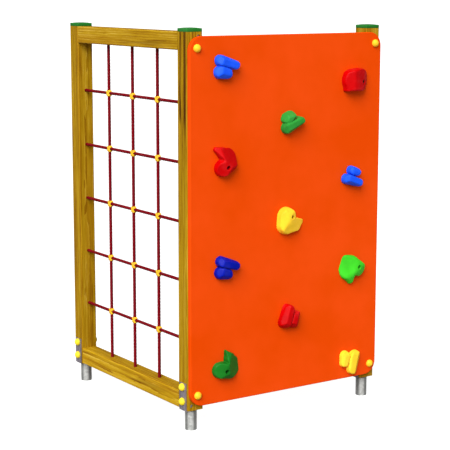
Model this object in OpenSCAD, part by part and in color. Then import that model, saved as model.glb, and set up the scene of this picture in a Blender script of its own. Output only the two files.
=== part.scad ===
// Climbing corner: a plastic climbing panel and a rope net on three timber posts.
// Origin: axis of the corner post, at ground level. +X runs along the panel, +Y along the net, +Z is up.

/* [Timber] */
// Side of the square posts and rails
post_w = 90; // [80:1:110]
// Rounding of the timber's long edges
edge_r = 6; // [3:1:10]
// Length of each post's timber
post_h = 1900; // [1800:10:2100]
// Outside width along the climbing panel
panel_side = 1208; // [1202:1:1230]
// Outside depth along the rope net
net_side = 1200; // [1180:1:1240]

/* [Ground anchors] */
// Height of the timber's lower end above the ground
ground_gap = 110; // [80:1:200]
// Outside diameter of the foot tube
tube_d = 60.3; // [48.3:0.1:76.1]
// Wall of the foot tube
tube_wall = 3; // [2:0.5:5]
// Thickness of the bent strap
strap_t = 5; // [4:0.5:8]
// Width of the bent strap
strap_w = 60; // [40:1:70]
// Height of the strap's legs beside the timber
strap_leg = 140; // [136:1:180]
// Height of the lower through bolt above the timber's lower end
bolt_low = 43; // [38:1:46]
// Distance between the two through bolts
bolt_step = 75; // [72:1:80]

/* [Climbing panel] */
// Length of the panel
panel_l = 1200; // [1180:1:1200]
// Height of the panel
panel_h = 1855; // [1800:1:1860]
// Thickness of the panel
panel_t = 25; // [19:1:30]
// Radius of the panel's corners
panel_r = 72; // [40:1:90]
// Height of the panel's lower edge above the timber's lower end
panel_lift = 25; // [10:1:40]
// Distance of the panel's fixing screws from its side edges
screw_side = 41; // [38:1:45]
// Distance of the panel's fixing screws from its upper and lower edges
screw_end = 58; // [54:1:60]

/* [Rope net] */
// Diameter of the ropes
rope_d = 16; // [14:1:18]
// Distance between the upright ropes
rope_step_y = 250; // [220:1:260]
// Distance between the level ropes
rope_step_z = 300; // [280:1:310]
// Thickness of a cross connector
connector_t = 20; // [20:0.5:24]
// Reach of a connector's lobes from its centre, along the diagonal
connector_reach = 12; // [12:0.5:13]

/* [Post caps] */
// Thickness of a post cap above the timber
cap_h = 20; // [16:1:26]

/* [Hidden] */
half = post_w / 2;
post_x = panel_side - post_w;
post_y = net_side - post_w;
timber_top = ground_gap + post_h;
panel_x0 = -half;
panel_z0 = ground_gap + panel_lift;
panel_front = -half - panel_t;
strap_face = half + strap_t;
tube_top = ground_gap - strap_t;
eps = 0.01;

// Through bolts of the anchors and screws of the panel
bolt_r = 6;
bolt_hole_r = 6.5;
bolt_head_af = 18;
bolt_head_h = 7.5;
nut_h = 10;
washer_r = 12;
washer_t = 2.5;
bolt_tail = 3;
dome_r = 20;
dome_h = 20;
dome_rim = 6;
dome_wall = 2.5;
weld = 5;
weld_sink = 1;
thread_play = 0.05;
lag_r = 5;
lag_hole_r = 5.2;
lag_head_af = 17;
lag_l = 60;

// Screws that hold the rails' ends
rail_screw_r = 4;
rail_screw_hole_r = 4.2;
rail_screw_l = 190;
rail_screw_head_r = 9;
rail_screw_head_h = 5;
rail_screw_sink_r = 10;
rail_screw_sink = 12;
rail_screw_off = 22;

// Rope ends and crossings
rope_r = rope_d / 2;
rope_hole_r = rope_r + 0.5;
sink_r = 16;
sink_depth = 26;
ferrule_r = 12;
ferrule_l = 14;
rope_washer_r = 15;
plug_t = 6;
plug_play = 0.1;
rope_inset = sink_depth - washer_t - ferrule_l;
neck_r = 4.5;
neck_hole_r = 4.7;
neck_l = 18;
lobe_r = 8;
connector_screw_at = 10.5;
connector_screw_r = 1.5;
connector_screw_head_r = 2.75;
connector_screw_head_h = 2;
level_channel_r = rope_r + 0.3;
upright_channel_r = rope_r + 0.1;
connector_screw_tip = 2;
rope_ys = [for (i = [-1:1]) post_y / 2 + i * rope_step_y];
rope_zs = [for (k = [-2:2]) ground_gap + post_h / 2 + k * rope_step_z];

// Post cap
cap_r = 12;
cap_rim = 13;
cap_top_inset = 8;
peg_r = 14;
peg_l = 30;
peg_play = 0.2;

// Climbing holds: place of the bolt along X and Z, turn about the bolt, and mould
TWIN = 0;
TWIN_LEFT = 1;
HOOK = 2;
ROUND_HOOK = 3;
SLOPER = 4;
HOLDS = [
    [154, 1837, -14, TWIN],
    [1010, 1735, 0, SLOPER],
    [559, 1546, 23, TWIN_LEFT],
    [152, 1343, 43, HOOK],
    [967, 1240, -20, TWIN_LEFT],
    [550, 1060, -100, ROUND_HOOK],
    [158, 834, -15, TWIN],
    [997, 749, 152, HOOK],
    [559, 530, 72, TWIN],
    [145, 304, 0, HOOK],
    [962, 233, -102, TWIN]
];
hold_bolt_r = 5;
hold_hole_r = 5.5;
hold_washer_r = 9.5;
hold_sink_r = 10;
hold_floor = 18;
hold_head_r = 8;
hold_head_h = 10;
hex_key_af = 8;
hex_key_depth = 5;
tnut_flange_r = 12.5;
tnut_flange_t = 2;
tnut_r = 6.5;
tnut_l = 12;
tnut_hole_r = 6.7;
tnut_bore_r = 5.1;
insert_r = 7.5;
insert_l = 22;
insert_play = 0.1;
rear_bolt_reach = 18;

// Moulds are drawn as domes: a round foot and a smaller ball on top of it
dome_foot = 8;
dome_ball = 0.75;

// Twin mould: a long bar and a short bar side by side, each with a wide end, a slim end and their radii
twin_long = [[-38, 27], 28, [46, 25], 23];
twin_short = [[-26, -29], 29, [14, -27], 24];
twin_h = 50;
twin_slim_drop = 3;
web_r = 30;
web_h = 24;

// Hook mould: two overlapping domes, a horn and a round notch beside the horn
hook_a = [-20, 4];
hook_a_r = 44;
hook_b = [46, 14];
hook_b_r = 50;
hook_horn = [4, 97];
hook_horn_r = 9;
hook_notch = [-32, 69];
hook_notch_r = 25;
hook_h = 48;
hook_a_drop = 4;
horn_h = 34;

// Round hook: a larger dome with a short horn
ring_a = [4, -16];
ring_a_r = 52;
ring_b = [44, -10];
ring_b_r = 48;
ring_horn = [12, 86];
ring_notch = [-22, 64];
ring_notch_r = 24;

// Sloper: a broad straight back that runs down to the bolt
sloper_back_x = -92;
sloper_top = 50;
sloper_low = -37;
sloper_back_r = 15;
sloper_mid = [-58, 8];
sloper_mid_r = 56;
sloper_nose = [-6, 8];
sloper_nose_r = 48;
sloper_h = 56;
sloper_nose_h = 44;

$fn = 64;

// ---------- Helpers ----------

// Square with rounded corners, centred
module rounded_square(side, r) {
    union() {
        square([side, side - 2 * r], center = true);
        square([side - 2 * r, side], center = true);
        for (x = [-1, 1], y = [-1, 1]) translate([x * (side / 2 - r), y * (side / 2 - r)]) circle(r);
    }
}

// Turns a solid that stands on Z to lie along Y (towards +Y) or along X (towards +X)
module along_y() { rotate([-90, 0, 0]) children(); }
module along_x() { rotate([0, 90, 0]) children(); }

// Hexagonal prism given by its width across flats
module hexagon(across, h) { cylinder(r = across / sqrt(3), h = h, $fn = 6); }

module ring(outer, inner, h) {
    difference() {
        cylinder(r = outer, h = h);
        translate([0, 0, -1]) cylinder(r = inner, h = h + 2);
    }
}

module at_posts() {
    for (p = [[0, 0], [0, post_y], [post_x, 0]]) translate([p[0], p[1], 0]) children();
}

// Places children at the two through bolts of each post, with +X along the bolt
module at_anchor_bolts() {
    at_posts() for (z = [bolt_low, bolt_low + bolt_step]) translate([0, 0, ground_gap + z]) children();
}

// Places children at the panel's four screws, on the panel's back face
module at_panel_screws() {
    for (x = [screw_side, panel_l - screw_side], z = [screw_end, panel_h - screw_end])
        translate([panel_x0 + x, -half, panel_z0 + z]) children();
}

// Places children at every crossing of the net
module at_crossings() {
    for (y = rope_ys, z = rope_zs) translate([0, y, z]) children();
}

// ---------- Timber ----------

// Two screws into each rail's end, on a diagonal, starting on a post's outer face and running towards +Y
module rail_screw_places() {
    for (s = [-1, 1], level = [ground_gap + half, timber_top - half])
        translate([s * rail_screw_off, 0, level + s * rail_screw_off]) children();
}

module rail_screw_holes() {
    rail_screw_places() along_y() {
        translate([0, 0, -half - 1]) cylinder(r = rail_screw_sink_r, h = rail_screw_sink + 1);
        translate([0, 0, -half]) cylinder(r = rail_screw_hole_r, h = post_w + rail_screw_l);
    }
}

// Level rope holes in a post whose outer face looks to -Y
module level_rope_holes() {
    for (z = rope_zs) translate([0, 0, z]) along_y() {
        translate([0, 0, -half - 1]) cylinder(r = sink_r, h = sink_depth + 1);
        translate([0, 0, -half]) cylinder(r = rope_hole_r, h = post_w + 1);
    }
}

module anchor_bolt_holes() {
    for (z = [bolt_low, bolt_low + bolt_step])
        translate([-half - 1, 0, ground_gap + z]) along_x() cylinder(r = bolt_hole_r, h = post_w + 2);
}

module panel_screw_holes() {
    at_panel_screws() along_y() cylinder(r = lag_hole_r, h = lag_l + 2);
}

module post_timber() {
    difference() {
        translate([0, 0, ground_gap]) linear_extrude(post_h) rounded_square(post_w, edge_r);
        anchor_bolt_holes();
        translate([0, 0, timber_top - peg_l - 2]) cylinder(r = peg_r + peg_play, h = peg_l + 3);
    }
}

module post_corner() {
    color("tan") difference() {
        post_timber();
        level_rope_holes();
        rail_screw_holes();
        panel_screw_holes();
    }
}

module post_net_end() {
    color("tan") difference() {
        translate([0, post_y, 0]) post_timber();
        translate([0, post_y, 0]) mirror([0, 1, 0]) {
            level_rope_holes();
            rail_screw_holes();
        }
    }
}

module post_panel_end() {
    color("tan") difference() {
        translate([post_x, 0, 0]) post_timber();
        panel_screw_holes();
    }
}

// Rail with its upper face at height z; sink_up puts the rope ends in the upper face
module rail(z, sink_up) {
    length = post_y - post_w;
    color("burlywood") difference() {
        translate([0, half, z - half]) along_y() linear_extrude(length) rounded_square(post_w, edge_r);
        for (y = rope_ys) translate([0, y, z - half]) mirror([0, 0, sink_up ? 0 : 1]) {
            translate([0, 0, -half - 1]) cylinder(r = rope_hole_r, h = post_w + 2);
            translate([0, 0, half - sink_depth]) cylinder(r = sink_r, h = sink_depth + 1);
        }
        rail_screw_holes();
        translate([0, post_y, 0]) mirror([0, 1, 0]) rail_screw_holes();
    }
}

module rail_top() { rail(timber_top, true); }
module rail_bottom() { rail(ground_gap + post_w, false); }

module rail_screw() {
    union() {
        translate([0, 0, rail_screw_sink - half - rail_screw_head_h])
            cylinder(r = rail_screw_head_r, h = rail_screw_head_h);
        translate([0, 0, rail_screw_sink - half - eps]) cylinder(r = rail_screw_r, h = rail_screw_l);
    }
}

module rail_screws() {
    color("silver") {
        rail_screw_places() along_y() rail_screw();
        translate([0, post_y, 0]) mirror([0, 1, 0]) rail_screw_places() along_y() rail_screw();
    }
}

// ---------- Post caps ----------

module post_cap(x, y) {
    color("green") translate([x, y, timber_top]) union() {
        hull() {
            linear_extrude(cap_rim) rounded_square(post_w, cap_r, $fn = 32);
            linear_extrude(cap_h) rounded_square(post_w - 2 * cap_top_inset, cap_r, $fn = 32);
        }
        translate([0, 0, -peg_l]) cylinder(r = peg_r, h = peg_l + 1);
    }
}

module post_cap_corner() { post_cap(0, 0); }
module post_cap_net_end() { post_cap(0, post_y); }
module post_cap_panel_end() { post_cap(post_x, 0); }

// ---------- Ground anchors ----------

module strap_corner() {
    intersection() {
        circle(strap_t);
        translate([0, -strap_t]) square(strap_t);
    }
}

// Section of the strap, a U seen along Y, with the timber's lower end at height 0
module strap_section() {
    union() {
        translate([-half, -strap_t]) square([post_w, strap_t]);
        for (s = [0, 1]) mirror([s, 0]) {
            translate([half, 0]) square([strap_t, strap_leg]);
            translate([half, 0]) strap_corner();
        }
    }
}

module anchor_strap(x, y) {
    color("lightgray") translate([x, y, 0]) difference() {
        translate([0, strap_w / 2, ground_gap]) rotate([90, 0, 0]) linear_extrude(strap_w) strap_section();
        for (z = [bolt_low, bolt_low + bolt_step])
            translate([-post_w, 0, ground_gap + z]) along_x() cylinder(r = bolt_hole_r, h = 2 * post_w);
    }
}

module anchor_strap_corner() { anchor_strap(0, 0); }
module anchor_strap_net_end() { anchor_strap(0, post_y); }
module anchor_strap_panel_end() { anchor_strap(post_x, 0); }

// Open tube welded under the strap, with its weld bead
module foot_tube(x, y) {
    color("silver") translate([x, y, 0]) difference() {
        union() {
            cylinder(r = tube_d / 2, h = tube_top);
            rotate_extrude() polygon([
                [tube_d / 2 - weld_sink, tube_top],
                [min(tube_d / 2 + weld, half), tube_top],
                [tube_d / 2 - weld_sink, tube_top - weld - weld_sink]
            ]);
        }
        translate([0, 0, -1]) cylinder(r = tube_d / 2 - tube_wall, h = tube_top + 2);
    }
}

module foot_tube_corner() { foot_tube(0, 0); }
module foot_tube_net_end() { foot_tube(0, post_y); }
module foot_tube_panel_end() { foot_tube(post_x, 0); }

module anchor_bolts() {
    color("silver") at_anchor_bolts() along_x() union() {
        translate([0, 0, -strap_face - washer_t - bolt_head_h]) hexagon(bolt_head_af, bolt_head_h);
        translate([0, 0, -strap_face - washer_t - eps])
            cylinder(r = bolt_r, h = 2 * (strap_face + washer_t) + nut_h + bolt_tail);
    }
}

module anchor_nuts() {
    color("silver") at_anchor_bolts() translate([strap_face + washer_t, 0, 0]) along_x() difference() {
        hexagon(bolt_head_af, nut_h);
        translate([0, 0, -1]) cylinder(r = bolt_r + thread_play, h = nut_h + 2);
    }
}

module anchor_washers() {
    color("silver") at_anchor_bolts() for (s = [0, 1]) mirror([s, 0, 0])
        translate([strap_face, 0, 0]) along_x() ring(washer_r, bolt_hole_r, washer_t);
}

// Domed cap standing on its rim, hollow from below
module bolt_dome() {
    crown = dome_h - dome_rim;
    sphere_r = (dome_r * dome_r + crown * crown) / (2 * crown);
    difference() {
        intersection() {
            cylinder(r = dome_r, h = dome_h + 1);
            translate([0, 0, dome_h - sphere_r]) sphere(sphere_r);
        }
        translate([0, 0, -1]) intersection() {
            cylinder(r = dome_r - dome_wall, h = dome_h);
            translate([0, 0, 1 + dome_h - sphere_r]) sphere(sphere_r - dome_wall);
        }
    }
}

module anchor_bolt_caps() {
    color("gold") at_anchor_bolts() for (s = [0, 1]) mirror([s, 0, 0])
        translate([strap_face, 0, 0]) along_x() bolt_dome();
}

// ---------- Climbing panel ----------

module panel_outline() {
    union() {
        translate([panel_r, 0]) square([panel_l - 2 * panel_r, panel_h]);
        translate([0, panel_r]) square([panel_l, panel_h - 2 * panel_r]);
        for (x = [panel_r, panel_l - panel_r], y = [panel_r, panel_h - panel_r])
            translate([x, y]) circle(panel_r, $fn = 96);
    }
}

module climbing_panel() {
    color("orangered") difference() {
        translate([panel_x0, -half, panel_z0]) rotate([90, 0, 0]) linear_extrude(panel_t) panel_outline();
        at_panel_screws() translate([0, 1, 0]) rotate([90, 0, 0]) cylinder(r = lag_hole_r, h = panel_t + 2);
        for (h = HOLDS) translate([h[0], -half + 1, h[1]]) rotate([90, 0, 0])
            cylinder(r = is_twin(h) ? hold_hole_r : tnut_hole_r, h = panel_t + 2);
    }
}

module panel_screws() {
    color("silver") at_panel_screws() translate([0, -panel_t - washer_t, 0]) along_y() union() {
        translate([0, 0, -bolt_head_h]) hexagon(lag_head_af, bolt_head_h);
        translate([0, 0, -eps]) cylinder(r = lag_r, h = washer_t + panel_t + lag_l);
    }
}

module panel_washers() {
    color("silver") at_panel_screws() translate([0, -panel_t - washer_t, 0]) along_y()
        ring(washer_r, lag_hole_r, washer_t);
}

module panel_screw_caps() {
    color("gold") at_panel_screws() translate([0, -panel_t, 0]) rotate([90, 0, 0]) bolt_dome();
}

// ---------- Climbing holds ----------
// Each mould lies on its back with the bolt's axis on Z and its front towards +Z.

// Dome over a round foot
module dome(at, r, h) {
    translate([at[0], at[1], 0]) union() {
        cylinder(r = r, h = dome_foot, $fn = 28);
        translate([0, 0, h - r * dome_ball]) sphere(r * dome_ball, $fn = 28);
    }
}

module twin_bar(bar, h) {
    hull() {
        dome(bar[0], bar[1], h);
        dome(bar[2], bar[3], h - twin_slim_drop);
    }
}

module twin_mould() {
    union() {
        twin_bar(twin_long, twin_h);
        twin_bar(twin_short, twin_h - twin_slim_drop);
        cylinder(r = web_r, h = web_h, $fn = 28);
    }
}

module hook_mould(a, a_r, b, b_r, horn, notch, notch_r) {
    difference() {
        union() {
            hull() {
                dome(a, a_r, hook_h - hook_a_drop);
                dome(b, b_r, hook_h);
            }
            hull() {
                dome(b, b_r, hook_h);
                dome(horn, hook_horn_r, horn_h);
            }
        }
        translate([notch[0], notch[1], -1]) cylinder(r = notch_r, h = hook_h + 2);
    }
}

module sloper_mould() {
    hull() {
        dome([sloper_back_x, sloper_top], sloper_back_r, sloper_h);
        dome([sloper_back_x, sloper_low], sloper_back_r, sloper_h);
        dome(sloper_mid, sloper_mid_r, sloper_h);
        dome(sloper_nose, sloper_nose_r, sloper_nose_h);
    }
}

module mould(kind) {
    if (kind == TWIN) twin_mould();
    if (kind == TWIN_LEFT) mirror([0, 1, 0]) twin_mould();
    if (kind == HOOK) hook_mould(hook_a, hook_a_r, hook_b, hook_b_r, hook_horn, hook_notch, hook_notch_r);
    if (kind == ROUND_HOOK)
        hook_mould(ring_a, ring_a_r, ring_b, ring_b_r, ring_horn, ring_notch, ring_notch_r);
    if (kind == SLOPER) sloper_mould();
}

// Places children on the panel's front face at one hold, with +Z out of the panel
module at_hold(h) {
    translate([h[0], panel_front, h[1]])
        rotate([90, 0, 0])
            rotate([0, 0, h[2]])
                children();
}

// Twin holds show no bolt: theirs comes from behind the panel into a threaded insert
function is_twin(h) = h[3] == TWIN || h[3] == TWIN_LEFT;

module front_bolt_space() {
    translate([0, 0, -1]) cylinder(r = hold_hole_r, h = hold_floor + 2);
    translate([0, 0, hold_floor]) cylinder(r = hold_sink_r, h = sloper_h);
}

module hold(i) {
    at_hold(HOLDS[i]) difference() {
        mould(HOLDS[i][3]);
        if (is_twin(HOLDS[i])) translate([0, 0, -1]) cylinder(r = insert_r + insert_play, h = insert_l + 1);
        if (!is_twin(HOLDS[i])) front_bolt_space();
    }
}

// Socket-head bolt through hold and panel into the T-nut
module front_bolt() {
    difference() {
        union() {
            translate([0, 0, hold_floor + washer_t]) cylinder(r = hold_head_r, h = hold_head_h);
            translate([0, 0, -panel_t - tnut_flange_t - 1])
                cylinder(r = hold_bolt_r, h = hold_floor + washer_t + panel_t + tnut_flange_t + 1 + eps);
        }
        translate([0, 0, hold_floor + washer_t + hold_head_h - hex_key_depth])
            hexagon(hex_key_af, hex_key_depth + 1);
    }
}

module rear_bolt() {
    translate([0, 0, -panel_t - washer_t]) difference() {
        union() {
            translate([0, 0, -hold_head_h]) cylinder(r = hold_head_r, h = hold_head_h);
            translate([0, 0, -eps]) cylinder(r = hold_bolt_r, h = washer_t + panel_t + rear_bolt_reach);
        }
        translate([0, 0, -hold_head_h - 1]) hexagon(hex_key_af, hex_key_depth + 1);
    }
}

module hold_bolts() {
    color("silver") for (h = HOLDS) at_hold(h) {
        if (is_twin(h)) rear_bolt();
        if (!is_twin(h)) front_bolt();
    }
}

module hold_washers() {
    color("silver") for (h = HOLDS) at_hold(h)
        translate([0, 0, is_twin(h) ? -panel_t - washer_t : hold_floor])
            ring(hold_washer_r, hold_hole_r, washer_t);
}

module hold_tnuts() {
    color("silver") for (h = HOLDS) if (!is_twin(h)) at_hold(h) translate([0, 0, -panel_t]) difference() {
        union() {
            translate([0, 0, -tnut_flange_t]) cylinder(r = tnut_flange_r, h = tnut_flange_t);
            translate([0, 0, -eps]) cylinder(r = tnut_r, h = tnut_l);
        }
        translate([0, 0, -tnut_flange_t - 1]) cylinder(r = tnut_bore_r, h = tnut_l + tnut_flange_t + 2);
    }
}

module hold_inserts() {
    color("silver") for (h = HOLDS) if (is_twin(h)) at_hold(h) ring(insert_r, tnut_bore_r, insert_l);
}

// ---------- Rope net ----------

// Upright rope, opened at each crossing for the level rope
module rope_upright(i) {
    color("maroon") translate([0, rope_ys[i], 0]) difference() {
        translate([0, 0, ground_gap + rope_inset]) cylinder(r = rope_r, h = post_h - 2 * rope_inset);
        for (z = rope_zs) translate([0, -rope_d, z]) along_y() cylinder(r = neck_hole_r, h = 2 * rope_d);
    }
}

// Level rope, squeezed to a neck where it goes through each upright rope
module rope_level(k) {
    first = -half + rope_inset;
    last = post_y + half - rope_inset;
    starts = concat([first], [for (y = rope_ys) y + neck_l / 2]);
    ends = concat([for (y = rope_ys) y - neck_l / 2], [last]);
    color("maroon") translate([0, 0, rope_zs[k]]) union() {
        for (s = [0:3]) translate([0, starts[s], 0]) along_y() cylinder(r = rope_r, h = ends[s] - starts[s]);
        for (y = rope_ys)
            translate([0, y - neck_l / 2 - 1, 0])
                along_y() cylinder(r = neck_r, h = neck_l + 2);
    }
}

// Places children at each rope end, with +Z pointing out of the timber and 0 on its face
module at_level_rope_ends() {
    for (z = rope_zs) {
        translate([0, -half, z]) rotate([90, 0, 0]) children();
        translate([0, post_y + half, z]) rotate([-90, 0, 0]) children();
    }
}

module at_upright_rope_ends() {
    for (y = rope_ys) {
        translate([0, y, timber_top]) children();
        translate([0, y, ground_gap]) mirror([0, 0, 1]) children();
    }
}

module rope_ferrule() { translate([0, 0, -sink_depth + washer_t]) ring(ferrule_r, rope_r, ferrule_l); }
module rope_washer() { translate([0, 0, -sink_depth]) ring(rope_washer_r, rope_r + plug_play, washer_t); }
module rope_plug() { translate([0, 0, -plug_t]) cylinder(r = sink_r - plug_play, h = plug_t); }

module rope_ferrules() {
    color("silver") {
        at_level_rope_ends() rope_ferrule();
        at_upright_rope_ends() rope_ferrule();
    }
}

module rope_washers() {
    color("silver") {
        at_level_rope_ends() rope_washer();
        at_upright_rope_ends() rope_washer();
    }
}

// Timber plugs; the rope ends in the corner post lie behind the panel and have none
module rope_plugs() {
    color("peru") {
        for (z = rope_zs) translate([0, post_y + half, z]) rotate([-90, 0, 0]) rope_plug();
        at_upright_rope_ends() rope_plug();
    }
}

// Four-lobed outline of a connector, in the net's plane
module connector_outline() {
    d = connector_reach / sqrt(2);
    union() {
        square(2 * connector_reach, center = true);
        for (x = [-d, d], y = [-d, d]) translate([x, y]) circle(lobe_r, $fn = 16);
    }
}

// One half shell, on the +Z side of the net's plane, with local X along the level rope
module connector_shell() {
    difference() {
        linear_extrude(connector_t / 2) connector_outline();
        rotate([0, 90, 0]) translate([0, 0, -half]) cylinder(r = level_channel_r, h = post_w, $fn = 24);
        rotate([90, 0, 0]) translate([0, 0, -half]) cylinder(r = upright_channel_r, h = post_w, $fn = 24);
        for (s = [-1, 1]) translate([s * connector_screw_at, s * connector_screw_at, -1])
            cylinder(r = connector_screw_r + thread_play, h = connector_t, $fn = 16);
    }
}

// The outer shell's screw heads are sunk in its face
module connector_outer_shells() {
    color("gold") at_crossings() rotate([0, -90, 0]) rotate([0, 0, 90]) difference() {
        connector_shell();
        for (s = [-1, 1]) translate([s * connector_screw_at, s * connector_screw_at,
            connector_t / 2 - connector_screw_head_h])
                cylinder(r = connector_screw_head_r + thread_play, h = connector_screw_head_h + 1, $fn = 16);
    }
}

module connector_inner_shells() {
    color("gold") at_crossings() rotate([0, 90, 0]) rotate([0, 0, 90]) connector_shell();
}

module connector_screws() {
    color("silver") at_crossings() rotate([0, -90, 0]) rotate([0, 0, 90])
        for (s = [-1, 1]) translate([s * connector_screw_at, s * connector_screw_at, 0]) union() {
            translate([0, 0, connector_t / 2 - connector_screw_head_h])
                cylinder(r = connector_screw_head_r, h = connector_screw_head_h, $fn = 24);
            translate([0, 0, connector_screw_tip - connector_t / 2]) cylinder(
                r = connector_screw_r,
                h = connector_t - connector_screw_tip - connector_screw_head_h + eps,
                $fn = 24);
        }
}

// ---------- Assembly ----------

post_corner();
post_net_end();
post_panel_end();
rail_top();
rail_bottom();
rail_screws();
post_cap_corner();
post_cap_net_end();
post_cap_panel_end();
anchor_strap_corner();
foot_tube_corner();
anchor_strap_net_end();
foot_tube_net_end();
anchor_strap_panel_end();
foot_tube_panel_end();
anchor_bolts();
anchor_nuts();
anchor_washers();
anchor_bolt_caps();
climbing_panel();
panel_screws();
panel_washers();
panel_screw_caps();
color("dodgerblue") hold(0);  // hold_01_blue_twin
color("red") hold(1);  // hold_02_red_sloper
color("forestgreen") hold(2);  // hold_03_green_twin
color("red") hold(3);  // hold_04_red_hook
color("dodgerblue") hold(4);  // hold_05_blue_twin
color("gold") hold(5);  // hold_06_yellow_hook
color("navy") hold(6);  // hold_07_navy_twin
color("lime") hold(7);  // hold_08_lime_hook
color("red") hold(8);  // hold_09_red_twin
color("darkgreen") hold(9);  // hold_10_green_hook
color("gold") hold(10);  // hold_11_yellow_twin
hold_bolts();
hold_washers();
hold_tnuts();
hold_inserts();
rope_upright(0);  // rope_upright_1
rope_upright(1);  // rope_upright_2
rope_upright(2);  // rope_upright_3
rope_level(0);  // rope_level_1
rope_level(1);  // rope_level_2
rope_level(2);  // rope_level_3
rope_level(3);  // rope_level_4
rope_level(4);  // rope_level_5
rope_ferrules();
rope_washers();
rope_plugs();
connector_outer_shells();
connector_inner_shells();
connector_screws();
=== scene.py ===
"""Looks of the climbing corner, built around its CAD frame.

Lengths in the hold and connector moulds are millimetres, as in the CAD. Everything in the scene is in metres.
"""
import math

import bpy
import numpy as np
from mathutils import Matrix, Vector


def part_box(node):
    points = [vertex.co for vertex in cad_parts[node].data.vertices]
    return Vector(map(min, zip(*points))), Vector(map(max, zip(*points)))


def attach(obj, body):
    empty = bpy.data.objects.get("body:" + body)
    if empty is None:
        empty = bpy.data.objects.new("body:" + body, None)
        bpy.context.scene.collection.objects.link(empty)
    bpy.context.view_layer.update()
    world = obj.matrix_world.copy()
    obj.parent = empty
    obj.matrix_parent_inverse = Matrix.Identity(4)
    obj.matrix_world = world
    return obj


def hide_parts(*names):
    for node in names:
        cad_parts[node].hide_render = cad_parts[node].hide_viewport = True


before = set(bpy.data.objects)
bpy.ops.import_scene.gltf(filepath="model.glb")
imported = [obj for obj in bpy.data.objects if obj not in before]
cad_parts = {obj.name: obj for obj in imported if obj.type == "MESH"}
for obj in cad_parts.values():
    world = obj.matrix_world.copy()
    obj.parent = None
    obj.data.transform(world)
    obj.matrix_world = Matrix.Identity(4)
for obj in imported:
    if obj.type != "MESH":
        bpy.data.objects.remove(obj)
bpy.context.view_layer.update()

MM = 0.001
BODY = "root"

# ---------------------------------------------------------------- sizes read from the CAD

panel_lo, panel_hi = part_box("climbing_panel")
panel_front = panel_lo.y
timber_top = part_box("post_corner")[1].z
CAPS = ["post_cap_corner", "post_cap_net_end", "post_cap_panel_end"]
UPRIGHTS = [f"rope_upright_{i}" for i in (1, 2, 3)]
LEVELS = [f"rope_level_{i}" for i in (1, 2, 3, 4, 5)]


def centre(node):
    """Middle of a CAD node's box."""
    lo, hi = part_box(node)
    return (lo + hi) / 2


upright_ys = [centre(n).y for n in UPRIGHTS]
level_zs = [centre(n).z for n in LEVELS]

# ---------------------------------------------------------------- colours (linear)


def srgb(r, g, b):
    """A colour given in 0 to 255, as Blender's linear values."""
    def lin(c):
        c /= 255
        return c / 12.92 if c <= 0.04045 else ((c + 0.055) / 1.055) ** 2.4
    return lin(r), lin(g), lin(b), 1.0


HOLD_COLOURS = {
    "blue": srgb(24, 82, 232),
    "red": srgb(184, 0, 3),
    "green": srgb(42, 138, 50),
    "yellow": srgb(244, 198, 44),
    "navy": srgb(0, 18, 148),
    "lime": srgb(56, 188, 34),
    "dark_green": srgb(20, 106, 26),
}

# ---------------------------------------------------------------- shader nodes


def shade(colour, factor, lift=0.0):
    """A colour made darker or lighter by a factor, and then raised by lift."""
    return tuple(min(1, c * factor + lift) for c in colour[:3]) + (1,)


def connect(tree, value, socket):
    """Links another node's socket to this one, or sets this one to a plain value."""
    if isinstance(value, bpy.types.NodeSocket):
        tree.links.new(value, socket)
    else:
        socket.default_value = value


def add_node(tree, kind, props, inputs):
    """A shader node. props are its settings; inputs go by socket name, or by number as i0, i1 and so on."""
    node = tree.nodes.new("ShaderNode" + kind)
    for key, value in (props or {}).items():
        setattr(node, key, value)
    for key, value in inputs.items():
        numbered = key[0] == "i" and key[1:].isdigit()
        connect(tree, value, node.inputs[int(key[1:]) if numbered else key.replace("_", " ")])
    return node


class Mat:
    """A material with one Principled shader, and short calls that add the nodes in front of it."""

    def __init__(self, name, **values):
        self.mat = bpy.data.materials.new(name)
        self.mat.use_nodes = True
        self.tree = self.mat.node_tree
        self.tree.nodes.clear()
        self.out = self.node("OutputMaterial")
        self.bsdf = self.node("BsdfPrincipled", **values)
        self.tree.links.new(self.bsdf.outputs[0], self.out.inputs[0])
        self.coords = self.node("TexCoord")

    def node(self, kind, props=None, **inputs):
        return add_node(self.tree, kind, props, inputs)

    def space(self, scale=(1, 1, 1), location=(0, 0, 0)):
        """Object coordinates, scaled and shifted."""
        at = self.coords.outputs["Object"]
        return self.node("Mapping", Vector=at, Scale=scale, Location=location).outputs[0]

    def noise(self, vector, scale=1.0, detail=4.0, rough=0.55, distortion=0.0):
        n = self.node(
            "TexNoise", Vector=vector, Scale=scale, Detail=detail, Roughness=rough, Distortion=distortion,
        )
        return n.outputs["Fac"]

    def ramp(self, factor, stops):
        """Colour ramp through stops, each (place, grey value or colour)."""
        n = self.node("ValToRGB", Fac=factor)
        while len(n.color_ramp.elements) < len(stops):
            n.color_ramp.elements.new(0.5)
        for e, (at, colour) in zip(n.color_ramp.elements, stops):
            e.position = at
            e.color = colour if hasattr(colour, "__len__") else (colour, colour, colour, 1)
        return n.outputs["Color"]

    def mix(self, factor, a, b):
        return self.node("Mix", {"data_type": "RGBA"}, i0=factor, i6=a, i7=b).outputs[2]

    def math(self, op, a, b=0.0):
        return self.node("Math", {"operation": op}, i0=a, i1=b).outputs[0]

    def range(self, value, a, b, to_a, to_b):
        """Carries the stretch from a to b over to the stretch from to_a to to_b."""
        n = self.node("MapRange", Value=value, From_Min=a, From_Max=b, To_Min=to_a, To_Max=to_b)
        return n.outputs[0]

    def bump(self, height, strength, distance):
        return self.node("Bump", Height=height, Strength=strength, Distance=distance).outputs[0]

    def set(self, **sockets):
        """Links the shader's sockets and gives the finished material."""
        for key, value in sockets.items():
            self.tree.links.new(value, self.bsdf.inputs[key.replace("_", " ")])
        return self.mat


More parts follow.
